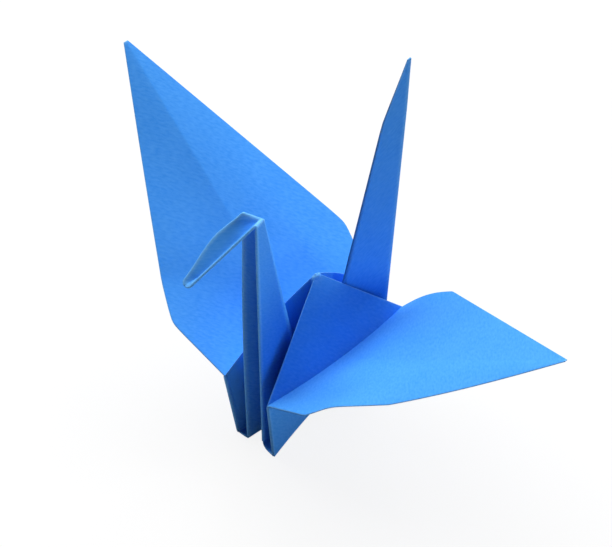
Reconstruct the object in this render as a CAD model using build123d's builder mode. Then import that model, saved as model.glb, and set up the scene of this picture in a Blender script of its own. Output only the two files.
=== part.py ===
"""A paper crane folded from one square sheet, standing on the four points of its body.

Every corner is worked out from the square and the angles of the classic folds, then each panel is laid
in with the thickness of the layers that lie pressed together there. The beak points to -Y, the bird's
left wing to +X, and it stands on Z = 0.
"""

import os
from math import cos, radians, sin, sqrt, tan

from build123d import *

# The sheet and its thickness
sheet_side = 150.0
paper = 0.1

# How the body is pulled open: each half of the hump leans out and bows at the hinge, and the wall below
# tucks in again and is pinched together under the belly
hump_tilt_left_deg = 17.7
hump_tilt_right_deg = 12.2
hump_splay_left_deg = 3.9
hump_splay_right_deg = 1.7
wall_tuck_left_deg = 3.4
wall_tuck_right_deg = 2.4
spine_parting_deg = 2.0
body_puff = 1.0
belly_pinch = 2.4

# The wings: lift at the root, lift of the outer part, how far the front edge droops, sweep to the back,
# and how far the middle crease stands over the edges at the shoulders
root_lift_left_deg = 36.3
root_lift_right_deg = 27.4
wing_lift_left_deg = 32.7
wing_lift_right_deg = 38.4
wing_droop_left_deg = 4.5
wing_droop_right_deg = 4.9
wing_sweep_left_deg = 3.7
wing_sweep_right_deg = 3.3
wing_ridge_left = -1.3
wing_ridge_right = 2.6
wing_tip_width_left = 0.5
wing_tip_width_right = 0.9
raw_edge_gap = 0.3

# The neck and the tail: lean from upright, a slight sway to the left, and the opening at the foot
neck_lean_deg = 14.9
neck_sway_deg = 2.4
neck_base_width = 3.7
neck_rise_left = 2.0
neck_rise_right = 0.2
tail_lean_deg = 12.4
tail_sway_deg = 2.1
tail_base_width = 3.4
tail_rise = 0.6
tail_tip_width = 0.7
tail_knuckle = 1.0
tail_knuckle_share = 0.73

# The head: length along its spine, dip below level, turn to the side, and how far its groove is open
head_length = 17.0
head_dip_deg = 33.5
head_turn_deg = -11.8
head_open_left_deg = 30.2
head_open_right_deg = 47.0
head_tip_width = 1.3
head_bow = 1.1
head_bow_share = 0.42

# The belly web reaches this share of the way from each foot to the hole in the middle
belly_web_share = 0.55
# The pocket starts this share of the way down its spine
pocket_top_share = 0.03

# How many layers lie pressed together
hump_layers = 1
pocket_layers = 1
wing_layers = 2
corner_layers = 2
wall_layers = 4
flap_layers = 2
neck_layers = 4
web_layers = 2

# The flat folds, measured from the tip of a leg: x to the front, y up to the wing tip
narrow = radians(90 / 8)
wing_edge = radians(90 / 4)
peak_y = sheet_side / sqrt(2)
leg = sheet_side / 2
hinge_y = peak_y / (1 + tan(narrow))
hinge_x = hinge_y * tan(narrow)
shoulder_y = sheet_side * tan(wing_edge) / (tan(narrow) + tan(wing_edge))
shoulder_x = shoulder_y * tan(narrow)
corner_y = leg / cos(wing_edge)
corner_x = hinge_y - corner_y
front_foot_y = leg / (1 + tan(narrow) * tan(radians(neck_lean_deg / 2)))
back_foot_y = leg / (1 + tan(narrow) * tan(radians(tail_lean_deg / 2)))

up = Vector(0, 0, 1)
left = Vector(1, 0, 0)
front = Vector(0, -1, 0)
peak = Vector(0, 0, 0)


def turned(start, toward, angle):
    """The direction found by turning from one direction toward another."""
    return start * cos(radians(angle)) + toward * sin(radians(angle))


def square_to(vector, axis):
    """The part of a direction that is square to an axis, at unit length."""
    return (vector - axis * vector.dot(axis)).normalized()


def between(start, end, share):
    """The point that lies a share of the way from start to end."""
    return start + (end - start) * share


class Side:
    """The corners of one half of the body and of its wing."""

    def __init__(self, sign, tilt, splay, tuck, root_lift, lift, droop, sweep, ridge, tip_width):
        self.fore = turned(front, left * sign, splay)
        self.out = turned(left * sign, -front, splay)
        self.down = turned(-up, self.out, -tuck)
        self.crease = peak + turned(-up, self.out, tilt) * hinge_x
        self.hinge_front = self.on_wall(hinge_x, hinge_y)
        self.hinge_back = self.on_wall(-hinge_x, hinge_y)
        self.hinge = self.on_wall(0, hinge_y)
        self.front_foot = self.on_wall(front_foot_y * tan(narrow), front_foot_y)
        self.back_foot = self.on_wall(-back_foot_y * tan(narrow), back_foot_y)
        self.belly = self.on_wall(0, leg)
        self.root_way = turned(self.out, up, root_lift)
        self.root_ridge = -body_puff * sin(radians(root_lift))
        self.shoulder = self.crease + self.root_way * (shoulder_y - hinge_y)
        level = turned(self.fore, -up, droop)
        straight = square_to(turned(self.out, up, lift), level)
        self.wing_fore = turned(level, straight, sweep)
        self.wing_way = turned(straight, -level, sweep)
        self.ridge = ridge
        self.half_tip = tip_width / 2
        self.shoulder_front = self.shoulder + self.wing_fore * shoulder_x
        self.shoulder_back = self.shoulder - self.wing_fore * shoulder_x

    def on_wall(self, x, y):
        """A point of the flat folds on the wall, which bows out at the hinge and in at the belly."""
        drop = (hinge_y - y) / (hinge_y - leg)
        bow = (body_puff - (body_puff + belly_pinch) * drop) * (1 - abs(x) / (y * tan(narrow)))
        return self.crease + self.fore * x + self.down * (hinge_y - y) + self.out * bow


side_left = Side(1, hump_tilt_left_deg, hump_splay_left_deg, wall_tuck_left_deg, root_lift_left_deg,
                 wing_lift_left_deg, wing_droop_left_deg, wing_sweep_left_deg, wing_ridge_left,
                 wing_tip_width_left)
side_right = Side(-1, hump_tilt_right_deg, hump_splay_right_deg, wall_tuck_right_deg, root_lift_right_deg,
                  wing_lift_right_deg, wing_droop_right_deg, wing_sweep_right_deg, wing_ridge_right,
                  wing_tip_width_right)

# The spines of the front and back pockets, of the neck and of the tail
neck_base = peak + turned(-up, front, spine_parting_deg) * (peak_y - leg)
tail_base = peak + turned(-up, -front, spine_parting_deg) * (peak_y - leg)
neck_way = (turned(up, front, neck_lean_deg) + left * sin(radians(neck_sway_deg))).normalized()
tail_way = (turned(up, -front, tail_lean_deg) + left * sin(radians(tail_sway_deg))).normalized()
tail_tip = tail_base + tail_way * leg

# Where the edges of the neck and of the tail stand between the feet
front_gap = (side_right.front_foot - side_left.front_foot).length
back_gap = (side_right.back_foot - side_left.back_foot).length
neck_inset = (1 - neck_base_width / front_gap) / 2
tail_inset = (1 - tail_base_width / back_gap) / 2
neck_foot_left = between(side_left.front_foot, side_right.front_foot, neck_inset) + up * neck_rise_left
neck_foot_right = between(side_right.front_foot, side_left.front_foot, neck_inset) + up * neck_rise_right
tail_foot_left = between(side_left.back_foot, side_right.back_foot, tail_inset) + up * tail_rise
tail_foot_right = between(side_right.back_foot, side_left.back_foot, tail_inset) + up * tail_rise

# The head is reversed at a crease from the nape to the two brows, square to the turn that it makes
nape = neck_base + neck_way * (leg - head_length)
crease_slope_deg = (neck_lean_deg + 90 - head_dip_deg) / 2
brow_y = head_length / (1 + tan(narrow) * tan(radians(crease_slope_deg)))
brow_x = brow_y * tan(narrow)
brow = neck_base + neck_way * (leg - brow_y)
neck_front = square_to(front, neck_way)
neck_left = square_to(square_to(left, neck_way), neck_front)
brow_left = brow + turned(neck_front, neck_left, head_open_left_deg) * brow_x
brow_right = brow + turned(neck_front, -neck_left, head_open_right_deg) * brow_x
head_way = turned(turned(front, left, head_turn_deg), -up, head_dip_deg)
beak = nape + head_way * head_length
beak_left = beak + (brow_left - nape).normalized() * head_tip_width
beak_right = beak + (brow_right - nape).normalized() * head_tip_width


def plate(corners, facing, low, high):
    """A flat panel through its corners, from low to high along the way that it faces."""
    normal = (corners[1] - corners[0]).cross(corners[2] - corners[0]).normalized()
    if normal.dot(facing) < 0:
        normal = -normal
    plane = Plane(origin=corners[0] + normal * low, x_dir=corners[1] - corners[0], z_dir=normal)
    flat = [plane.to_local_coords(corner) for corner in corners]
    with BuildPart() as panel:
        with BuildSketch(plane):
            with BuildLine():
                Polyline(*[(point.X, point.Y) for point in flat], close=True)
            make_face()
        extrude(amount=high - low)
    return panel.part


def vee(apex, left_end, right_end, thickness):
    """A V of folded paper: two arms from a spine, with the spine and the folded ends chamfered round."""
    half = thickness / 2
    normal = (left_end - apex).cross(right_end - apex).normalized()
    plane = Plane(origin=apex, x_dir=right_end - left_end, z_dir=normal)
    ends = [plane.to_local_coords(end) for end in (left_end, right_end)]
    ways = [end.normalized() for end in ends]
    middle = (ways[0] + ways[1]).normalized()
    aside = [square_to(middle, way) * half for way in ways]
    fork = middle * (half / sqrt(1 - middle.dot(ways[0]) ** 2))
    ring = [ends[0] - aside[0], -aside[0], -middle * half, -aside[1], ends[1] - aside[1],
            ends[1] + ways[1] * half, ends[1] + aside[1], fork, ends[0] + aside[0], ends[0] + ways[0] * half]
    with BuildSketch(plane) as section:
        with BuildLine():
            Polyline(*ring, close=True)
        make_face()
    return section.sketch


def trough(sections):
    """A folded strip that runs through its V sections."""
    with BuildPart() as strip:
        loft(sections=sections, ruled=True)
    return strip.part


def wing_section(middle, across, way, half_width, ridge):
    """Across a wing: the creased sheet on top, and below it two flaps whose raw edges nearly meet."""
    plane = Plane(origin=middle, x_dir=across, z_dir=way)
    rise = 1 if plane.y_dir.dot(up) > 0 else -1
    depth = rise * paper * wing_layers / 2
    seam = raw_edge_gap / 2
    top = rise * ridge
    shelf = top * (1 - seam / half_width)
    ring = [(-half_width, depth), (0, top + depth), (half_width, depth), (half_width, -depth),
            (seam, shelf - depth), (seam, shelf), (-seam, shelf), (-seam, shelf - depth), (-half_width, -depth)]
    with BuildSketch(plane) as section:
        with BuildLine():
            Polyline(*ring, close=True)
        make_face()
    return section.sketch


def wing(side):
    """One wing from inside the hinge over the shoulders to its blunt tip."""
    tip_y = sheet_side - side.half_tip / tan(wing_edge)
    tip = side.shoulder + side.wing_way * (tip_y - shoulder_y)
    start = side.crease - side.root_way * paper
    middle_way = (side.root_way + side.wing_way).normalized()
    tip_ridge = side.ridge * side.half_tip / shoulder_x
    with BuildPart() as blade:
        loft(sections=[
            wing_section(start, side.fore, side.root_way, hinge_x, side.root_ridge),
            wing_section(side.shoulder, side.wing_fore, middle_way, shoulder_x, side.ridge),
            wing_section(tip, side.wing_fore, side.wing_way, side.half_tip, tip_ridge),
        ], ruled=True)
    return blade.part


def side_panels(side):
    """The hump faces, the wall with its two flaps, and the folded corners under one wing."""
    hump = hump_layers * paper / 2
    wall = wall_layers * paper / 2
    flap = wall + flap_layers * paper
    under = paper * (wing_layers / 2 + corner_layers)
    seam = raw_edge_gap / 2
    panels = []
    for way, foot, hinge_end, shoulder_end in (
            (1, side.front_foot, side.hinge_front, side.shoulder_front),
            (-1, side.back_foot, side.hinge_back, side.shoulder_back)):
        panels.append(plate([peak, hinge_end, side.hinge], side.out, -hump, hump))
        panels.append(plate([hinge_end, foot, side.belly], side.out, -wall, wall))
        panels.append(plate([hinge_end, side.belly, side.hinge], side.out, -wall, wall))
        notch = side.on_wall(way * corner_x, hinge_y)
        seam_low = side.on_wall(way * seam, leg)
        seam_high = side.on_wall(way * seam, corner_y + seam)
        panels.append(plate([hinge_end, foot, seam_low], side.out, 0, flap))
        panels.append(plate([hinge_end, seam_low, seam_high, notch], side.out, 0, flap))
        panels.append(plate([notch, hinge_end, shoulder_end], -up, 0, under))
    return panels


def belly_webs(side, neck_foot, tail_foot):
    """The strips that turn under from the wall to the neck and the tail, open at the middle."""
    web = web_layers * paper / 2
    webs = []
    for foot, inner, base in ((side.front_foot, neck_foot, neck_base), (side.back_foot, tail_foot, tail_base)):
        on_wall = between(foot, side.belly, belly_web_share)
        on_neck = between(inner, base, belly_web_share)
        webs.append(plate([foot, inner, on_wall], up, -web, web))
        webs.append(plate([on_wall, inner, on_neck], up, -web, web))
    return webs


def pocket(base, left_hinge, right_hinge, left_foot, right_foot):
    """The pocket that holds the neck or the tail, from just under the peak to the feet."""
    thickness = pocket_layers * paper
    bend = between(peak, base, (peak_y - hinge_y) / (peak_y - leg))
    share = pocket_top_share
    return trough([
        vee(between(peak, bend, share), between(peak, left_hinge, share), between(peak, right_hinge, share),
            thickness),
        vee(bend, left_hinge, right_hinge, thickness),
        vee(base, left_foot, right_foot, thickness),
    ])


front_pocket = pocket(neck_base, side_left.hinge_front, side_right.hinge_front,
                      side_left.front_foot, side_right.front_foot)
back_pocket = pocket(tail_base, side_left.hinge_back, side_right.hinge_back,
                     side_left.back_foot, side_right.back_foot)

# The neck, and the head whose right cheek bows out
stack = neck_layers * paper
neck = trough([vee(neck_base, neck_foot_left, neck_foot_right, stack),
               vee(nape, brow_left, brow_right, stack)])
cheek = between(brow_right, beak_right, head_bow_share) + (brow_right - brow_left).normalized() * head_bow
head = trough([vee(nape, brow_left, brow_right, stack),
               vee(between(nape, beak, head_bow_share), between(brow_left, beak_left, head_bow_share), cheek, stack),
               vee(beak, beak_left, beak_right, stack)])

# The tail, whose spine is knuckled where its inner layers end
tail_left = tail_tip + (tail_foot_left - tail_base).normalized() * tail_tip_width
tail_right = tail_tip + (tail_foot_right - tail_base).normalized() * tail_tip_width
knuckle = between(tail_base, tail_tip, tail_knuckle_share) + square_to(front, tail_way) * tail_knuckle
tail = trough([vee(tail_base, tail_foot_left, tail_foot_right, stack),
               vee(knuckle, between(tail_foot_left, tail_left, tail_knuckle_share),
                   between(tail_foot_right, tail_right, tail_knuckle_share), stack),
               vee(tail_tip, tail_left, tail_right, paper)])

with BuildPart() as bird:
    for half in (side_left, side_right):
        for panel in side_panels(half):
            add(panel)
        add(wing(half))
    add(belly_webs(side_left, neck_foot_left, tail_foot_left))
    add(belly_webs(side_right, neck_foot_right, tail_foot_right))
    add([front_pocket, back_pocket, neck, head, tail])

# Set down on its four feet, with the middle of its outline over the origin
fore_feet = side_left.front_foot + side_right.front_foot
hind_feet = side_left.back_foot + side_right.back_foot
left_feet = side_left.front_foot + side_left.back_foot
right_feet = side_right.front_foot + side_right.back_foot
ground = Plane(origin=peak, x_dir=left_feet - right_feet,
               z_dir=(fore_feet - hind_feet).cross(left_feet - right_feet))
standing = ground.to_local_coords(bird.part)
box = standing.bounding_box()
with BuildPart() as folded_sheet:
    with Locations((-box.center().X, -box.center().Y, -box.min.Z)):
        add(standing)

os.makedirs("parts", exist_ok=True)
folded_sheet.part.label = "folded_sheet"
export_step(folded_sheet.part, "parts/folded_sheet.step")
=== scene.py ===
"""Dresses the paper crane: the folds of the solid, drawn as thin curved paper with rounded creases.

Lengths are in millimetres until the mesh is made. The floor and the lamps are in metres. The beak points
to -Y and the bird's left wing, the near one in the photograph, to +X.
"""

from collections import namedtuple
from math import cos, pi, radians, sin, sqrt, tan

import bpy
from mathutils import Matrix, Vector


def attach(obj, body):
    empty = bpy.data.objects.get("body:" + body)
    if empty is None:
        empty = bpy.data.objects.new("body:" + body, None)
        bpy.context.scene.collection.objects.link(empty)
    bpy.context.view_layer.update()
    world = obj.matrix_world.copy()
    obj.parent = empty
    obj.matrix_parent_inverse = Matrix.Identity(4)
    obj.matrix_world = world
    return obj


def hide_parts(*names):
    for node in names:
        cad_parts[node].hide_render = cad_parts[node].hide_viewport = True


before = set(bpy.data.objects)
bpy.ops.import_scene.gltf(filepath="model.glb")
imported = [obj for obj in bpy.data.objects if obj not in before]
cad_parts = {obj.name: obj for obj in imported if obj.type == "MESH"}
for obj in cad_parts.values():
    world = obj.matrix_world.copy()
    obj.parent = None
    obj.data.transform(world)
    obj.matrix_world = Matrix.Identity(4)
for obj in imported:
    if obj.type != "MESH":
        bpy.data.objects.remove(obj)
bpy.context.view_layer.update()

metre = 0.001

# The sheet and its thickness
sheet_side = 150.0
paper = 0.1

# How the body is pulled open: each half of the hump leans out and bows at the hinge, and the wall below
# tucks in again and is pinched together under the belly
hump_tilt_left_deg = 17.7
hump_tilt_right_deg = 12.2
hump_splay_left_deg = 3.9
hump_splay_right_deg = 1.7
wall_tuck_left_deg = 3.4
wall_tuck_right_deg = 2.4
spine_parting_deg = 2.0
body_puff = 1.0
belly_pinch = 2.4

# The wings: lift at the root, lift of the outer part, how far the front edge droops, sweep to the back,
# and how far the middle crease stands over the edges at the shoulders
root_lift_left_deg = 36.3
root_lift_right_deg = 27.4
wing_lift_left_deg = 32.7
wing_lift_right_deg = 38.4
wing_droop_left_deg = 4.5
wing_droop_right_deg = 4.9
wing_sweep_left_deg = 3.7
wing_sweep_right_deg = 3.3
wing_ridge_left = -1.3
wing_ridge_right = 2.6
wing_tip_width_left = 0.5
wing_tip_width_right = 0.9
raw_edge_gap = 0.3

# How the hands left the wings: the bend over the shoulders runs further out at the front, the front edge
# sags and has a kink raised in it near the shoulder, and the shoulder corners are worn round
bend_skew_left = 0.0
bend_skew_right = 9.0
bend_length = 7.0
edge_sag_left = 0.9
edge_sag_right = 0.3
edge_kink_left = 1.5
edge_kink_right = 0.0
kink_place = 18.0
kink_length = 9.0
kink_round = 1.2
corner_round_left = 0.15
corner_round_right = 0.6
# The back edge of a wing's root arches up, the edges of the hump puff up, and the middle crease is round
root_bow_left = 0.9
root_bow_right = 0.0
ridge_rise_left = 0.0
ridge_rise_right = 1.5
crease_radius = 0.2
# From the upper to the lower layer of a wing
layer_pitch = 0.12

# The neck and the tail: lean from upright, a slight sway to the left, the opening at the foot, and how far
# the edges start above the feet. The neck's right edge bows out, and the tail's spine has a knuckle that
# stands forward, this share of the way up
neck_lean_deg = 14.9
neck_sway_deg = 2.4
neck_base_width = 3.7
neck_rise_left = 2.0
neck_rise_right = 0.2
neck_bow = 0.7
tail_lean_deg = 12.4
tail_sway_deg = 2.1
tail_base_width = 3.4
tail_rise = 0.6
tail_tip_width = 0.7
tail_knuckle = 1.8
tail_knuckle_share = 0.82

# The head: length along its spine, dip below level, turn to the side, how far its groove is open, its
# width at the tip, and how far its right cheek bows out
head_length = 17.0
head_dip_deg = 33.5
head_turn_deg = -11.8
head_open_left_deg = 30.2
head_open_right_deg = 47.0
head_tip_width = 1.6
head_bow = 1.1
head_bow_share = 0.42

# The belly web reaches this share of the way from each foot to the hole in the middle
belly_web_share = 0.55
# The hump and the pockets start this share of the way down from the peak
peak_share = 0.012

# Thickness of the layers that lie pressed together
wall_stack = 0.4
flap_stack = 0.2
neck_stack = 0.4
web_stack = 0.2
# The corners under a wing's root end this share of the way out to the shoulders
corner_reach = 0.96
# A fold of many layers doesn't press flat: its edge stays thicker over a short length, or over this share
# of a short arm, and is drawn in these steps
fold_bulge = 0.06
bulge_length = 0.75
bulge_limit = 0.45
bulge_steps = (0.67, 0.33, 0)
# Round rims and folds are drawn at these angles
rim_angles = (45, 90, 135)
nose_angles = (30, 60, 90, 120, 150)
# The folds are painted pale this far in from an edge, or this share of a narrow step of the grid, and
# round the peak: partly rubbed by handling, partly a painted highlight
rub_width = 0.6
rub_step_share = 0.7
peak_rub_and_highlight = 2.6
# How pale the folds of many layers, the flaps, the belly and the corners are, where a plain fold is 1
fold_wear_and_highlight = 0.8
flap_wear = 0.6
web_wear = 0.5
corner_wear = 0.3
# The middle of the sheet, where all its creases cross, stays a small round knob on the peak: its depth
# and half its width and length, from the bottom up
knob_depths = (1.9, 1.3, 0.9, 0.6, 0.38, 0.25)
knob_widths = (0.45, 0.5, 0.52, 0.46, 0.32, 0.14)
knob_lengths = (0.9, 1.1, 1.1, 0.95, 0.65, 0.25)
# The crease of the head is round over this length, and rubbed over a longer one
head_crease_length = 0.7
head_crease_rub = 1.4
# Beyond the crease, the bottom of the groove is pressed this share of the way to the left edge
groove_press_length = 4.0
groove_press_share = 0.55
# The beak is pressed shut and rounded, and painted paler toward its tip: a little rubbed, and a painted
# highlight over the shade there
beak_shut_length = 3.0
beak_shut_share = 0.97
beak_round = 0.9
beak_round_share = 0.95
beak_rub_and_highlight = 2.5
beak_wear_and_highlight = 0.5

# Where the peak of the hump stands in the row frame
peak_place = Vector((-2.88, 5.05, 32.29))

# The flat folds, measured from the tip of a leg: x to the front, y up to the wing tip
narrow = radians(90 / 8)
wing_edge = radians(90 / 4)
peak_y = sheet_side / sqrt(2)
leg = sheet_side / 2
hinge_y = peak_y / (1 + tan(narrow))
hinge_x = hinge_y * tan(narrow)
shoulder_y = sheet_side * tan(wing_edge) / (tan(narrow) + tan(wing_edge))
shoulder_x = shoulder_y * tan(narrow)
root_length = shoulder_y - hinge_y
corner_y = leg / cos(wing_edge)
corner_x = hinge_y - corner_y
front_foot_y = leg / (1 + tan(narrow) * tan(radians(neck_lean_deg / 2)))
back_foot_y = leg / (1 + tan(narrow) * tan(radians(tail_lean_deg / 2)))
wall_height = hinge_y - leg
wall_start = wall_stack / wall_height

up = Vector((0, 0, 1))
left = Vector((1, 0, 0))
front = Vector((0, -1, 0))
peak = Vector((0, 0, 0))

# One corner of a patch of paper: where it is, where it lies on the flat sheet, and its fold's wear and
# painted highlight
Place = namedtuple("Place", "point flat wear")


def turned(start, toward, angle):
    """The direction found by turning from one direction toward another."""
    return start * cos(radians(angle)) + toward * sin(radians(angle))


def square_to(vector, axis):
    """The part of a direction that is square to an axis, at unit length."""
    return (vector - axis * vector.dot(axis)).normalized()


def smooth(share):
    """A share from 0 to 1 that starts and ends gently."""
    share = min(max(share, 0), 1)
    return share * share * (3 - 2 * share)


def bump(share, crest):
    """Rises gently from 0 to 1 at the crest, and falls back to 0 at the end."""
    return smooth(share / crest) if share < crest else smooth((1 - share) / (1 - crest))


def spaced(low, high, count):
    """Evenly spaced values from low to high."""
    return [low + (high - low) * step / (count - 1) for step in range(count)]


def edged(low, high, count, length):
    """Evenly spaced values over a length, with two more close to each end for the fold's wear and painted
    highlight there.
    """
    rub_and_highlight = (high - low) * min(rub_width / length, rub_step_share / (count - 1))
    near = rub_and_highlight / 3
    between = spaced(low, high, count)[1:-1]
    return [low, low + near, low + rub_and_highlight] + between + [high - rub_and_highlight, high - near, high]


class Side:
    """The corners of one half of the body, and the curved surfaces of its wall and wing."""

    def __init__(self, sign, tilt, splay, tuck, root_lift, lift, droop, sweep, ridge,
                 tip_width, bend_skew, edge_sag, edge_kink, corner_round, root_bow, ridge_rise):
        self.ridge = ridge
        self.root_bow = root_bow
        self.ridge_rise = ridge_rise
        self.length = sheet_side - tip_width / 2 / tan(wing_edge) - hinge_y
        self.bend_skew = bend_skew
        self.edge_sag = edge_sag
        self.edge_kink = edge_kink
        self.corner_round = corner_round
        self.fore = turned(front, left * sign, splay)
        self.out = turned(left * sign, -front, splay)
        self.down = turned(-up, self.out, -tuck)
        self.crease = peak + turned(-up, self.out, tilt) * hinge_x
        self.front_foot = self.on_wall(front_foot_y * tan(narrow), front_foot_y)
        self.back_foot = self.on_wall(-back_foot_y * tan(narrow), back_foot_y)
        self.belly = self.on_wall(0, leg)
        root_way = turned(self.out, up, root_lift)
        self.shoulder = self.crease + root_way * root_length
        level = turned(self.fore, -up, droop)
        straight = square_to(turned(self.out, up, lift), level)
        self.wing_fore = turned(level, straight, sweep)
        self.wing_way = turned(straight, -level, sweep)
        self.wing_up = self.wing_fore.cross(self.wing_way) * sign

    def on_wall(self, x, y):
        """A point of the flat folds on the wall, which bows out at the hinge and in at the belly."""
        drop = (hinge_y - y) / wall_height
        off = abs(x) / (y * tan(narrow))
        bow = body_puff * (1 - drop) * (1 - off * off) - belly_pinch * drop * (1 - off)
        return self.crease + self.fore * x + self.down * (hinge_y - y) + self.out * bow

    def on_hump(self, x, share):
        """A point of the hump, a share of the way from the peak to the hinge. Its edges may puff up."""
        puff = self.ridge_rise * sin(pi * share) * (x / hinge_x) ** 2
        return peak.lerp(self.on_wall(x, hinge_y), share) + up * puff

    def half_width(self, y):
        """Half the width of the wing, y beyond the hinge."""
        root = hinge_x + y * tan(narrow)
        outer = (sheet_side - hinge_y - y) * tan(wing_edge)
        return (root + outer - sqrt((root - outer) ** 2 + self.corner_round ** 2)) / 2

    def outer_wing(self, x, y):
        """The wing beyond the bend: two flat halves at the middle crease, and a front edge that sags."""
        wide = self.half_width(y)
        off_crease = sqrt(x * x + crease_radius ** 2) - crease_radius
        crest = self.ridge * (wide - off_crease) / shoulder_x
        along = (y - root_length) / (self.length - root_length)
        sag = self.edge_sag * sin(pi * min(max(along, 0), 1))
        off_kink = sqrt((y - kink_place) ** 2 + kink_round ** 2) - kink_round
        kink = self.edge_kink * max(0, 1 - off_kink / kink_length)
        wave = (kink - sag) * max(0, x / wide) ** 2
        return (self.shoulder + self.wing_fore * x + self.wing_way * (y - root_length)
                + self.wing_up * (crest + wave))

    def wing_surface(self, x, y):
        """A point of the wing, from the hinge over the soft bend at the shoulders to the tip."""
        bend = root_length + self.bend_skew * max(0, x) / shoulder_x
        root = self.on_wall(x, hinge_y).lerp(self.outer_wing(x, bend), y / bend)
        arch = sin(pi * min(max(y / bend, 0), 1)) * max(0, -x / shoulder_x) ** 2
        root = root + self.wing_up * (self.root_bow * arch)
        return root.lerp(self.outer_wing(x, y), smooth((y - bend) / bend_length + 0.5))

    def wing_place(self, x, y, depth, wear):
        """A corner of the paper that lies some depth under the wing's surface."""
        step = paper
        across = self.wing_surface(x + step, y) - self.wing_surface(x - step, y)
        along = self.wing_surface(x, y + step) - self.wing_surface(x, y - step)
        normal = across.cross(along).normalized()
        if normal.dot(up) < 0:
            normal = -normal
        return Place(self.wing_surface(x, y) - normal * depth, (x, hinge_y + y), wear)


side_left = Side(
    1, tilt=hump_tilt_left_deg, splay=hump_splay_left_deg, tuck=wall_tuck_left_deg,
    root_lift=root_lift_left_deg, lift=wing_lift_left_deg, droop=wing_droop_left_deg,
    sweep=wing_sweep_left_deg, ridge=wing_ridge_left, tip_width=wing_tip_width_left,
    bend_skew=bend_skew_left, edge_sag=edge_sag_left, edge_kink=edge_kink_left,
    corner_round=corner_round_left, root_bow=root_bow_left, ridge_rise=ridge_rise_left)
side_right = Side(
    -1, tilt=hump_tilt_right_deg, splay=hump_splay_right_deg, tuck=wall_tuck_right_deg,
    root_lift=root_lift_right_deg, lift=wing_lift_right_deg, droop=wing_droop_right_deg,
    sweep=wing_sweep_right_deg, ridge=wing_ridge_right, tip_width=wing_tip_width_right,
    bend_skew=bend_skew_right, edge_sag=edge_sag_right, edge_kink=edge_kink_right,
    corner_round=corner_round_right, root_bow=root_bow_right, ridge_rise=ridge_rise_right)

# The spines of the front and back pockets, of the neck and of the tail
neck_base = peak + turned(-up, front, spine_parting_deg) * (peak_y - leg)
tail_base = peak + turned(-up, -front, spine_parting_deg) * (peak_y - leg)
neck_way = (turned(up, front, neck_lean_deg) + left * sin(radians(neck_sway_deg))).normalized()
tail_way = (turned(up, -front, tail_lean_deg) + left * sin(radians(tail_sway_deg))).normalized()
tail_tip = tail_base + tail_way * leg
neck_length = leg - head_length

# Where the edges of the neck and of the tail stand between the feet
front_gap = (side_right.front_foot - side_left.front_foot).length
back_gap = (side_right.back_foot - side_left.back_foot).length
neck_inset = (1 - neck_base_width / front_gap) / 2
tail_inset = (1 - tail_base_width / back_gap) / 2
neck_foot_left = side_left.front_foot.lerp(side_right.front_foot, neck_inset) + up * neck_rise_left
neck_foot_right = side_right.front_foot.lerp(side_left.front_foot, neck_inset) + up * neck_rise_right
tail_foot_left = side_left.back_foot.lerp(side_right.back_foot, tail_inset) + up * tail_rise
tail_foot_right = side_right.back_foot.lerp(side_left.back_foot, tail_inset) + up * tail_rise

# The head is reversed at a crease from the nape to the two brows, square to the turn that it makes
nape = neck_base + neck_way * neck_length
crease_slope_deg = (neck_lean_deg + 90 - head_dip_deg) / 2
brow_y = head_length / (1 + tan(narrow) * tan(radians(crease_slope_deg)))
brow_x = brow_y * tan(narrow)
brow = neck_base + neck_way * (leg - brow_y)
neck_front = square_to(front, neck_way)
neck_left = square_to(square_to(left, neck_way), neck_front)
brow_left = brow + turned(neck_front, neck_left, head_open_left_deg) * brow_x
brow_right = brow + turned(neck_front, -neck_left, head_open_right_deg) * brow_x
head_way = turned(turned(front, left, head_turn_deg), -up, head_dip_deg)
beak = nape + head_way * head_length
beak_left = beak + (brow_left - nape).normalized() * head_tip_width
beak_right = beak + (brow_right - nape).normalized() * head_tip_width
cheek_way = (brow_right - brow_left).normalized()

# Everything that is folded here goes into one mesh
points = []
flats = []
wears_and_highlights = []
faces = []


def add_place(place):
    """Adds one corner to the mesh and returns its number."""
    points.append(place.point)
    flats.append(place.flat)
    wears_and_highlights.append(place.wear)
    return len(points) - 1


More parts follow.
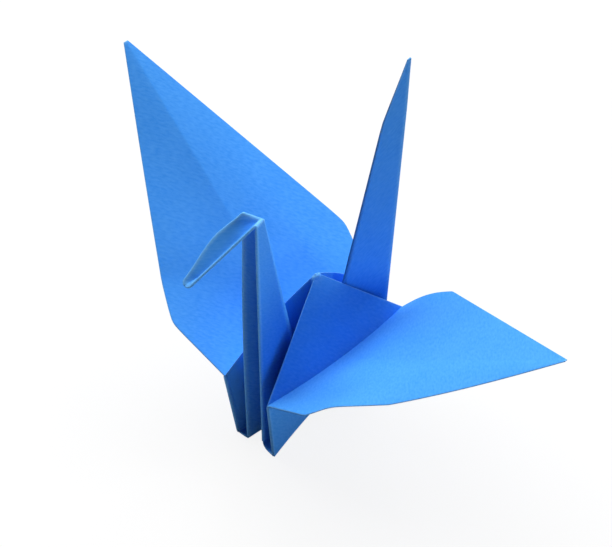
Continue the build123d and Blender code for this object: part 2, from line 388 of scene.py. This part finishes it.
def add_paper(rows, thickness, rim_wear=1.0, first_wear=1.0, last_wear=1.0):
    """A closed sheet of paper round a grid of places, with a half-round rim and pale edges: rubbed, with a
    painted highlight.
    """
    count, wide = len(rows), len(rows[0])

    def at(i, j):
        return rows[min(max(i, 0), count - 1)][min(max(j, 0), wide - 1)]

    def normal(i, j):
        across = at(i, j + 1).point - at(i, j - 1).point
        along = at(i + 1, j).point - at(i - 1, j).point
        return across.cross(along).normalized()

    def rubbed_and_highlit(i, j):
        """Wear and painted highlight of a place: in full on an edge, by half one step of the grid further
        in.
        """
        edges = ((i, first_wear), (count - 1 - i, last_wear), (j, rim_wear), (wide - 1 - j, rim_wear))
        return max([rows[i][j].wear] + [wear / (1 + step) for step, wear in edges if step < 2])

    half = thickness / 2
    top, bottom = [], []
    for i in range(count):
        for j in range(wide):
            place, way = rows[i][j]._replace(wear=rubbed_and_highlit(i, j)), normal(i, j)
            top.append(add_place(place._replace(point=place.point + way * half)))
            bottom.append(add_place(place._replace(point=place.point - way * half)))
    for i in range(count - 1):
        for j in range(wide - 1):
            corner = i * wide + j
            ring = [corner, corner + 1, corner + wide + 1, corner + wide]
            faces.append([top[k] for k in ring])
            faces.append([bottom[k] for k in reversed(ring)])

    border = ([(0, j) for j in range(wide)]
              + [(i, wide - 1) for i in range(1, count)]
              + [(count - 1, j) for j in range(wide - 2, -1, -1)]
              + [(i, 0) for i in range(count - 2, 0, -1)])
    rims = []
    for k, (i, j) in enumerate(border):
        place, way = rows[i][j], normal(i, j)
        before, after = border[k - 1], border[(k + 1) % len(border)]
        run = at(*after).point - at(*before).point
        outward = run.cross(way).normalized()
        rim = [top[i * wide + j]]
        for angle in rim_angles:
            point = place.point + turned(way, outward, angle) * half
            rim.append(add_place(Place(point, place.flat, rubbed_and_highlit(i, j))))
        rims.append(rim + [bottom[i * wide + j]])
    for k, rim in enumerate(rims):
        other = rims[(k + 1) % len(rims)]
        for step in range(len(rim) - 1):
            faces.append([rim[step], rim[step + 1], other[step + 1], other[step]])


def add_loft(rings):
    """A closed strip through its rings of places, with its two ends filled."""
    numbers = [[add_place(place) for place in ring] for ring in rings]
    size = len(rings[0])
    for lower, upper in zip(numbers, numbers[1:]):
        for k in range(size):
            n = (k + 1) % size
            faces.append([lower[k], lower[n], upper[n], upper[k]])
    faces.append(list(reversed(numbers[0])))
    faces.append(numbers[-1])


def vee_ring(apex, left_end, right_end, thickness, flat_y, crest=up, turn=0,
             crease_wear_and_highlight=0.0, spine_wear_and_highlight=0.0):
    """A V of folded paper across a strip: two arms from a spine, whose folded ends bulge a little.

    At a crease, the outer side of the V turns over the crest, by turn in degrees, to become the inner side.
    """
    half = thickness / 2
    ways = [(end - apex).normalized() for end in (left_end, right_end)]
    middle = (ways[0] + ways[1]).normalized()
    outers = [turned(-square_to(middle, way), square_to(crest, way), turn) for way in ways]
    ring = []

    def joint(sign):
        """Where the two arms meet on one side: in the fork at full length, on the spine rounded."""
        both = (outers[0] + outers[1]) * sign
        length = half * both.length / (1 + outers[0].dot(outers[1]))
        if both.dot(middle) <= 0:
            length = min(length, thickness)
        return apex + both.normalized() * length

    def arm(start, end, outer, steps, start_wear_and_highlight=0.0):
        """One face of an arm, from start to end, on the side that outer points to."""
        reach = (end - start).length
        bulge = min(bulge_length / reach, bulge_limit)
        shares = spaced(0, 1 - bulge, count=8) + [1 - bulge * step for step in bulge_steps]
        for share in shares[steps]:
            rub_and_highlight = fold_wear_and_highlight * smooth(1 - (1 - share) * reach / bulge_length)
            start_rub_and_highlight = start_wear_and_highlight * smooth(1 - share * reach / bulge_length)
            offset = start.lerp(end + outer * (half + fold_bulge), share)
            ring.append(Place(offset, (reach * share, flat_y), max(rub_and_highlight, start_rub_and_highlight, crease_wear_and_highlight)))

    def nose(end, first, way):
        """The round fold at the end of an arm."""
        for angle in nose_angles:
            point = end + turned(first, way, angle) * (half + fold_bulge)
            ring.append(Place(point, (0, flat_y), max(fold_wear_and_highlight, crease_wear_and_highlight)))

    outward, homeward = slice(1, None), slice(None, None, -1)
    arm(joint(1), left_end, outers[0], homeward, spine_wear_and_highlight)
    arm(joint(1), right_end, outers[1], outward, spine_wear_and_highlight)
    nose(right_end, outers[1], ways[1])
    arm(joint(-1), right_end, -outers[1], homeward)
    arm(joint(-1), left_end, -outers[0], outward)
    nose(left_end, -outers[0], ways[0])
    return ring


def fold_wing(side):
    """One wing: the creased sheet, folded under at both edges to raw edges that nearly meet."""
    nose = layer_pitch / 2
    seam = raw_edge_gap / 2
    rows = []
    shoulder_steps = [root_length - rub_width, root_length, root_length + rub_width]
    for y in sorted(edged(-paper, side.length, count=64, length=side.length) + shoulder_steps):
        reach = side.half_width(y) - nose
        under = [(x, layer_pitch, 0.0) for x in edged(seam, reach, count=9, length=reach)]
        bend = [(reach + nose * sin(radians(angle)), nose - nose * cos(radians(angle)), 1.0)
                for angle in reversed(rim_angles)]
        over = [(x, 0.0, 0.0) for x in edged(reach, 0, count=14, length=reach)]
        half = under + bend + over
        mirrored = [(-x, depth, wear) for x, depth, wear in reversed(half[:-1])]
        rows.append([side.wing_place(x, y, depth, wear) for x, depth, wear in half + mirrored])
    add_paper(rows, paper, first_wear=0.0)


def fold_corners(side):
    """The two corners that were narrowed for the legs and lie folded under the wing's root."""
    depth = layer_pitch * 2 + flap_stack / 2
    for way in (1, -1):
        rows = []
        for share in edged(0, corner_reach, count=10, length=root_length):
            y = root_length * share
            outer = side.half_width(y) - 2 * paper
            inner = corner_x + (outer - corner_x) * share
            steps = edged(inner, outer, count=8, length=hinge_x)
            rows.append([side.wing_place(way * x, y, depth, 0.0) for x in steps])
        add_paper(rows, flap_stack, rim_wear=corner_wear)


def peak_wear_and_highlight(point):
    """Wear and a painted highlight round the peak, where many creases of the sheet cross."""
    return smooth(1 - point.length / peak_rub_and_highlight)


def fold_hump(side):
    """The smooth face of the hump, from the peak down to the bowed hinge."""
    rows = []
    for share in edged(peak_share, 1, count=26, length=hinge_x):
        row = []
        for x in edged(hinge_x, -hinge_x, count=30, length=2 * hinge_x):
            point = side.on_hump(x, share)
            row.append(Place(point, (x * share, peak_y - hinge_x * share), peak_wear_and_highlight(point)))
        rows.append(row)
    add_paper(rows, paper, last_wear=0.0)


def fold_knob():
    """The round middle of the sheet on the peak."""
    rings = []
    for depth, wide, long in zip(knob_depths, knob_widths, knob_lengths):
        ring = []
        for angle in range(0, 360, 15):
            x, y = wide * cos(radians(angle)), long * sin(radians(angle))
            # The top of the knob is painted palest: wear and a painted highlight
            ring.append(Place(peak - up * depth + left * x - front * y, (x, peak_y + y),
                              smooth(1 - depth / knob_depths[0])))
        rings.append(ring)
    add_loft(rings)


def fold_wall(side):
    """The wall, from the hinge down to its lower edge."""
    rows = []
    for drop in edged(wall_start, 1, count=10, length=wall_height):
        row = []
        for share in edged(1, -1, count=14, length=2 * hinge_x):
            foot_y = front_foot_y if share > 0 else back_foot_y
            low_y = leg + (foot_y - leg) * abs(share)
            y = hinge_y + (low_y - hinge_y) * drop
            x = share * y * tan(narrow)
            row.append(Place(side.on_wall(x, y), (x, y), 0.0))
        rows.append(row)
    add_paper(rows, wall_stack, first_wear=0.0)


def fold_flaps(side):
    """The two flaps outside the wall, which meet at a seam with a notch over it."""
    lift = (wall_stack + flap_stack) / 2
    for way, foot_y in ((1, front_foot_y), (-1, back_foot_y)):
        rows = []
        for drop in edged(wall_start, 1, count=12, length=wall_height):
            row = []
            for share in edged(0, 1, count=10, length=hinge_x):
                y = hinge_y + (leg + (foot_y - leg) * share - hinge_y) * drop
                inner = max(raw_edge_gap / 2, y - corner_y)
                x = inner + (y * tan(narrow) - inner) * share
                row.append(Place(side.on_wall(way * x, y) + side.out * lift, (way * x, y), 0.0))
            rows.append(row)
        add_paper(rows, flap_stack, rim_wear=flap_wear, first_wear=0.0, last_wear=flap_wear)


def fold_pocket(side, way, base, foot):
    """One arm of the pocket that holds the neck or the tail, from just under the peak to the foot."""
    bend = peak.lerp(base, (peak_y - hinge_y) / (peak_y - leg))
    hinge_end = side.on_wall(way * hinge_x, hinge_y)
    rows = []
    by_hump = edged(peak_share, 1, count=16, length=hinge_x)
    by_wall = edged(1, 2, count=12, length=wall_height)[1:]
    for drop in by_hump + by_wall:
        if drop <= 1:
            spine = peak.lerp(bend, drop)
            edge = side.on_hump(way * hinge_x, drop)
        else:
            spine = bend.lerp(base, drop - 1)
            edge = hinge_end.lerp(foot, drop - 1)
        row = []
        for share in edged(0, 1, count=12, length=hinge_x):
            point = spine.lerp(edge, share)
            row.append(Place(point, (hinge_x * share, peak_y * drop), peak_wear_and_highlight(point)))
        rows.append(row)
    add_paper(rows, paper)


def fold_web(foot, belly, inner_foot, inner_base):
    """The rounded strip that turns under from the wall to an edge of the neck or the tail."""
    rows = []
    for share in edged(0, belly_web_share, count=12, length=hinge_x):
        outer = foot.lerp(belly, share)
        inner = inner_foot.lerp(inner_base, share)
        low = Vector((inner.x, inner.y, min(outer.z, inner.z)))
        row = []
        for turn in edged(0, 1, count=10, length=neck_base_width):
            point = outer.lerp(low, turn).lerp(low.lerp(inner, turn), turn)
            row.append(Place(point, (leg * share, turn), 0.0))
        rows.append(row)
    add_paper(rows, web_stack, rim_wear=web_wear)


fold_knob()
for side in (side_left, side_right):
    fold_hump(side)
    fold_wall(side)
    fold_flaps(side)
    fold_wing(side)
    fold_corners(side)
    fold_pocket(side, 1, neck_base, side.front_foot)
    fold_pocket(side, -1, tail_base, side.back_foot)
fold_web(side_left.front_foot, side_left.belly, neck_foot_left, neck_base)
fold_web(side_right.front_foot, side_right.belly, neck_foot_right, neck_base)
fold_web(side_left.back_foot, side_left.belly, tail_foot_left, tail_base)
fold_web(side_right.back_foot, side_right.belly, tail_foot_right, tail_base)


def neck_at(length):
    """The spine and the two edges of the neck, some length below the crease of the head."""
    share = 1 - length / neck_length
    bow = cheek_way * (neck_bow * sin(pi * share))
    return (neck_base.lerp(nape, share), neck_foot_left.lerp(brow_left, share),
            neck_foot_right.lerp(brow_right, share) + bow)


def beak_narrowing(length):
    """How far the end of the beak is rounded off, some length beyond the crease."""
    reach = beak_round_share * max(0, 1 - (head_length - length) / beak_round)
    return 1 - sqrt(1 - reach ** 2)


def head_at(length):
    """The spine and the two edges of the head, some length beyond the crease."""
    share = length / head_length
    bow = cheek_way * (head_bow * bump(share, head_bow_share))
    left_edge = brow_left.lerp(beak_left, share)
    right_edge = brow_right.lerp(beak_right, share) + bow
    middle = (left_edge + right_edge) / 2
    shut = beak_shut_share * smooth(1 - (head_length - length) / beak_shut_length)
    pressed = groove_press_share * (1 - shut) * smooth(length / groove_press_length)
    spine = nape.lerp(beak, share).lerp(left_edge, pressed).lerp(middle, shut)
    narrowed = beak_narrowing(length)
    return spine, left_edge.lerp(middle, narrowed), right_edge.lerp(middle, narrowed)


def crease_rub(length):
    """Wear of the head's crease, some length away from it."""
    return smooth(1 - length / head_crease_rub)


# The neck and the head are one strip, which turns over a round crease between them. Its lengths are
# measured from that crease, down the neck and out along the head
crest = (neck_way - head_way).normalized()
shut_start = head_length - beak_shut_length
round_start = head_length - beak_round
neck_lengths = (spaced(neck_length, head_crease_rub, count=20)
                + spaced(head_crease_rub, head_crease_length, count=4)[1:])
head_lengths = (spaced(head_crease_length, head_crease_rub, count=4)
                + spaced(head_crease_rub, shut_start, count=14)[1:]
                + spaced(shut_start, round_start, count=6)[1:]
                + spaced(round_start, head_length, count=6)[1:])
strip = []
for length in neck_lengths:
    strip.append(vee_ring(*neck_at(length), neck_stack, neck_length - length, crest,
                          crease_wear_and_highlight=crease_rub(length)))
for share in spaced(0, 1, count=11)[1:-1]:
    before = neck_at(head_crease_length * (1 - share))
    after = head_at(head_crease_length * share)
    places = [low.lerp(high, share) for low, high in zip(before, after)]
    strip.append(vee_ring(*places, neck_stack, neck_length, crest, turn=180 * share, crease_wear_and_highlight=1.0))
for length in head_lengths:
    # Toward the beak's tip the fold is painted paler: a little wear, and a painted highlight over the shade
    # at the tip
    rub_and_highlight = max(crease_rub(length), beak_wear_and_highlight * smooth(1 - (head_length - length) / beak_rub_and_highlight))
    stack = neck_stack * (1 - beak_narrowing(length))
    strip.append(vee_ring(*head_at(length), stack, neck_length + length, crest, turn=180, crease_wear_and_highlight=rub_and_highlight))
add_loft(strip)

# The tail thins to a point beyond its knuckle, where the inner layers end. It opens to the back, so its
# right edge comes first
tail_left = tail_tip + (tail_foot_left - tail_base).normalized() * tail_tip_width
tail_right = tail_tip + (tail_foot_right - tail_base).normalized() * tail_tip_width
strip = []
for share in edged(0, 1, count=30, length=leg):
    bent = min(share / tail_knuckle_share, (1 - share) / (1 - tail_knuckle_share))
    knuckle = square_to(front, tail_way) * (tail_knuckle * bent)
    spine = tail_base.lerp(tail_tip, share) + knuckle
    right_edge = tail_foot_right.lerp(tail_right, share)
    left_edge = tail_foot_left.lerp(tail_left, share)
    thinned = smooth((share - tail_knuckle_share) / (1 - tail_knuckle_share))
    stack = neck_stack + (paper - neck_stack) * thinned
    # The spine is painted pale like a rubbed fold: wear and a painted highlight on a fold that faces away
    # from the light
    strip.append(vee_ring(spine, right_edge, left_edge, stack, leg * share, spine_wear_and_highlight=fold_wear_and_highlight))
add_loft(strip)

# Set down on its four feet, as the solid is
fore_feet = side_left.front_foot + side_right.front_foot
hind_feet = side_left.back_foot + side_right.back_foot
left_feet = side_left.front_foot + side_left.back_foot
right_feet = side_right.front_foot + side_right.back_foot
across = (left_feet - right_feet).normalized()
upright = (fore_feet - hind_feet).cross(across).normalized()
standing = Matrix((across, upright.cross(across), upright))


def linear(hex_colour):
    """The linear colour of an sRGB hex colour."""
    channels = [int(hex_colour[k:k + 2], 16) / 255 for k in (1, 3, 5)]
    return [c / 12.92 if c <= 0.04045 else ((c + 0.055) / 1.055) ** 2.4 for c in channels] + [1.0]


def add_node(tree, kind, inputs=(), **settings):
    """Adds a node, sets what it is told and links or fills its inputs."""
    node = tree.nodes.new(kind)
    for name, value in settings.items():
        setattr(node, name, value)
    for name, value in inputs:
        if isinstance(value, bpy.types.NodeSocket):
            tree.links.new(value, node.inputs[name])
        else:
            node.inputs[name].default_value = value
    return node


def new_material(name):
    """An empty node material."""
    material = bpy.data.materials.new(name)
    material.use_nodes = True
    material.node_tree.nodes.clear()
    return material


# Craft paper, dyed through and pressed: matt, with hardly any gloss. It shows fine fibres along the sheet, a
# faint mottle, and folds painted paler: partly rubbed by handling, partly a painted highlight
paper_blue = "#52A6FC"
paper_deep = "#4098F6"
fold_pale_and_highlight = "#7CC4FF"
# Real fibres are a few hundredths of a millimetre wide, too fine to show, so the grain is drawn coarser
fibre_length = 1.1
fibre_width = 0.4
grain_height = 0.03
grain_strength = 0.5
mottle_size = 7.0
mottle_share = 0.3
# The sum of the two noises, from where the paper is at its deepest to where it is at its brightest
tone_low = 0.45
tone_high = 0.85
# Between these two values of the fibres, the rub and painted highlight on a fold go from this share to all
# of it
rub_low = 0.3
rub_high = 0.7
rub_least = 0.5

blue_paper = new_material("dyed_craft_paper")
tree = blue_paper.node_tree
sheet_place = add_node(tree, "ShaderNodeUVMap", uv_map="sheet").outputs["UV"]
object_place = add_node(tree, "ShaderNodeTexCoord").outputs["Object"]
along_fibres = add_node(tree, "ShaderNodeMapping", [
    ("Vector", sheet_place), ("Scale", (1 / (fibre_length * metre), 1 / (fibre_width * metre), 1))])
fibres = add_node(tree, "ShaderNodeTexNoise", [
    ("Vector", along_fibres.outputs["Vector"]), ("Scale", 1.0), ("Detail", 3.0)])
mottle = add_node(tree, "ShaderNodeTexNoise", [
    ("Vector", object_place), ("Scale", 1 / (mottle_size * metre)), ("Detail", 4.0)])
tone = add_node(tree, "ShaderNodeMath", [
    (0, mottle.outputs["Fac"]), (1, mottle_share), (2, fibres.outputs["Fac"])], operation="MULTIPLY_ADD")
tone_share = add_node(tree, "ShaderNodeMapRange", [
    ("Value", tone.outputs[0]), ("From Min", tone_low), ("From Max", tone_high)])
ground = add_node(tree, "ShaderNodeMix", [
    ("Factor", tone_share.outputs["Result"]), ("A", linear(paper_deep)), ("B", linear(paper_blue))],
    data_type="RGBA")
# Folds are painted pale: partly rubbed wear, partly a painted highlight on the edges
wear = add_node(tree, "ShaderNodeAttribute", attribute_name="fold_wear_and_highlight")
patchy = add_node(tree, "ShaderNodeMapRange", [
    ("Value", fibres.outputs["Fac"]), ("From Min", rub_low), ("From Max", rub_high),
    ("To Min", rub_least), ("To Max", 1.0)])
wear_and_highlight_share = add_node(tree, "ShaderNodeMath", [
    (0, wear.outputs["Fac"]), (1, patchy.outputs["Result"])], operation="MULTIPLY")
coloured = add_node(tree, "ShaderNodeMix", [
    ("Factor", wear_and_highlight_share.outputs[0]), ("A", ground.outputs["Result"]), ("B", linear(fold_pale_and_highlight))],
    data_type="RGBA")
grain = add_node(tree, "ShaderNodeBump", [
    ("Height", fibres.outputs["Fac"]), ("Strength", grain_strength), ("Distance", grain_height * metre)])
surface = add_node(tree, "ShaderNodeBsdfPrincipled", [
    ("Base Color", coloured.outputs["Result"]), ("Roughness", 0.7), ("Specular IOR Level", 0.08),
    ("Normal", grain.outputs["Normal"])])
add_node(tree, "ShaderNodeOutputMaterial", [("Surface", surface.outputs["BSDF"])])

# The mesh, in metres
mesh = bpy.data.meshes.new("folded_sheet_paper")
mesh.from_pydata([(standing @ point + peak_place) * metre for point in points], [], faces)
mesh.attributes.new("fold_wear_and_highlight", "FLOAT", "POINT").data.foreach_set("value", wears_and_highlights)
sheet_map = mesh.uv_layers.new(name="sheet")
for loop in mesh.loops:
    x, y = flats[loop.vertex_index]
    sheet_map.data[loop.index].uv = ((x + y) / sqrt(2) * metre, (y - x) / sqrt(2) * metre)
mesh.materials.append(blue_paper)
mesh.shade_smooth()
crane = bpy.data.objects.new("folded_sheet_paper", mesh)
bpy.context.scene.collection.objects.link(crane)
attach(crane, "root")
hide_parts("folded_sheet")

# White studio paper: matt and even, lifted nearly to plain white as in the photograph. It sends less light
# back up at the bird than it shows
floor_size = 4.0
plain_white = "#FFFFFF"
floor_white = "#F2F2F2"
floor_bounce = "#B8B8B8"
floor_glow = 0.88
floor_paint = new_material("white_studio_paper")
tree = floor_paint.node_tree
matt = add_node(tree, "ShaderNodeBsdfDiffuse", [("Color", linear(floor_white))])
bounce = add_node(tree, "ShaderNodeBsdfDiffuse", [("Color", linear(floor_bounce))])
glow = add_node(tree, "ShaderNodeEmission", [("Color", linear(plain_white)), ("Strength", 1.0)])
lifted = add_node(tree, "ShaderNodeMixShader", [
    (0, floor_glow), (1, matt.outputs["BSDF"]), (2, glow.outputs["Emission"])])
path = add_node(tree, "ShaderNodeLightPath")
seen = add_node(tree, "ShaderNodeMath", [
    (0, path.outputs["Is Camera Ray"]), (1, path.outputs["Is Glossy Ray"])], operation="MAXIMUM")
seen_through = add_node(tree, "ShaderNodeMath", [
    (0, seen.outputs[0]), (1, path.outputs["Is Transmission Ray"])], operation="MAXIMUM")
shown = add_node(tree, "ShaderNodeMixShader", [
    (0, seen_through.outputs[0]), (1, bounce.outputs["BSDF"]), (2, lifted.outputs["Shader"])])
add_node(tree, "ShaderNodeOutputMaterial", [("Surface", shown.outputs["Shader"])])
bpy.ops.mesh.primitive_plane_add(size=floor_size)
floor = bpy.context.object
floor.name = "floor"
floor.data.materials.append(floor_paint)

# Soft light from behind the bird and from over its far wing, a low one on its near side that the near wing
# keeps off the hump, and a little plain light all round
sky_strength = 0.05
world = bpy.data.worlds.new("plain_light")
world.use_nodes = True
world.node_tree.nodes["Background"].inputs["Color"].default_value = linear(plain_white)
world.node_tree.nodes["Background"].inputs["Strength"].default_value = sky_strength
bpy.context.scene.world = world


def add_soft_box(name, place, size, watts):
    """A square lamp that faces the origin."""
    lamp = bpy.data.lights.new(name, "AREA")
    lamp.shape = "SQUARE"
    lamp.size = size
    lamp.energy = watts
    box = bpy.data.objects.new(name, lamp)
    box.matrix_world = Matrix.Translation(place) @ place.to_track_quat("Z", "Y").to_matrix().to_4x4()
    bpy.context.scene.collection.objects.link(box)


add_soft_box("soft_box_behind", place=Vector((-0.14, 0.77, 0.76)), size=0.7, watts=9.0)
add_soft_box("soft_box_far", place=Vector((-0.5, 0.1, 0.95)), size=1.0, watts=12.2)
add_soft_box("soft_box_low", place=Vector((1.0, 0.34, 0.16)), size=0.3, watts=2.5)

# The camera stands where the photograph was taken from
camera_aim = Vector((-3.84, 3.47, 32.61))
camera_distance = 1054.6
camera_azimuth = radians(46.23)
camera_elevation = radians(41.93)
camera_roll_deg = 1.46
camera_lens = 352.9
sensor_width = 36.0

back = Vector((sin(camera_azimuth) * cos(camera_elevation), -cos(camera_azimuth) * cos(camera_elevation),
               sin(camera_elevation)))
level_right = Vector((cos(camera_azimuth), sin(camera_azimuth), 0))
level_up = back.cross(level_right)
camera_axes = Matrix((turned(level_right, -level_up, camera_roll_deg),
                      turned(level_up, level_right, camera_roll_deg), back)).transposed()
camera_data = bpy.data.cameras.new("camera")
camera_data.lens = camera_lens
camera_data.sensor_width = sensor_width
camera_data.sensor_fit = "HORIZONTAL"
camera = bpy.data.objects.new("camera", camera_data)
camera.matrix_world = (Matrix.Translation((camera_aim + back * camera_distance) * metre)
                       @ camera_axes.to_4x4())
bpy.context.scene.collection.objects.link(camera)
bpy.context.scene.camera = camera

bpy.context.scene.view_settings.view_transform = "Standard"
